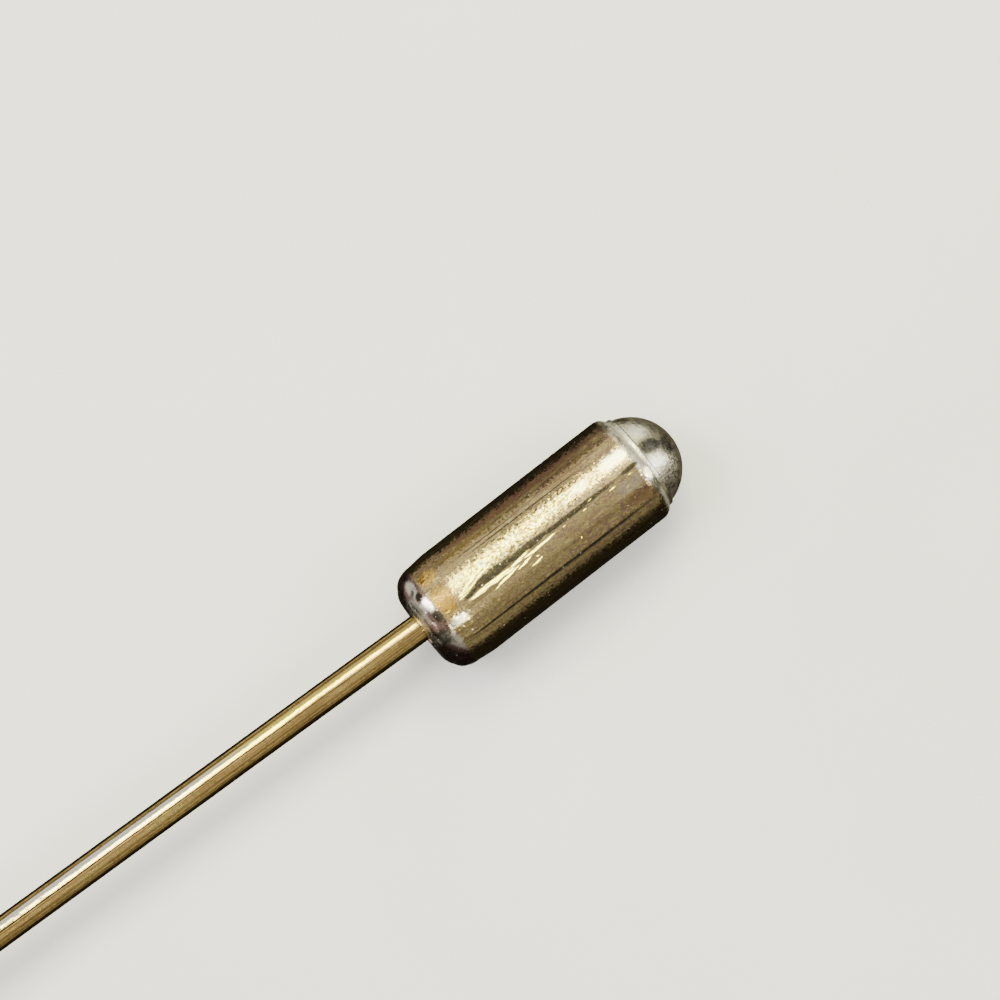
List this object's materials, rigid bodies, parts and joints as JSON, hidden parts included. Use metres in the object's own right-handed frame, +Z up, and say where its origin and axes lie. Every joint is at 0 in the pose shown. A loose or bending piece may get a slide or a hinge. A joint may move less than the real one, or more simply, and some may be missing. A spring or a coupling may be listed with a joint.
{
  "type": "stick pin with clutch",
  "caption": "Straight wire pin with a domed button head at one end and a sliding bullet-shaped clutch that covers its point at the other.",
  "frame": {"origin": "centre of the part's outline, on the plane that the head's flat back and the clutch's side lie on", "axes": "+X runs along the wire from the head to the clutch, and +Z up from the plane that the part lies on"},
  "size_m": [0.0636, 0.008, 0.0044],
  "materials": {
    "head_gilt": "gilt, polished, slightly worn",
    "wire_brass": "gilt drawn wire with fine lengthwise lines",
    "shell_gilt": "gilt tube, scratched, coppery in places and worn to grey metal at both ends",
    "grip_brass": "turned brass",
    "cap_nickel": "worn nickel, scuffed, with grey tarnish"
  },
  "bodies": {
    "pin": {"head": "head_gilt", "stem": "wire_brass"},
    "clutch": {"clutch_shell": "shell_gilt", "clutch_grip": "grip_brass", "clutch_cap": "cap_nickel"}
  },
  "joints": [
    {"name": "clutch_slide", "type": "slide", "parent": "pin", "child": "clutch", "axis": [1, 0, 0], "range_m": [0, 0.008]}
  ]
}
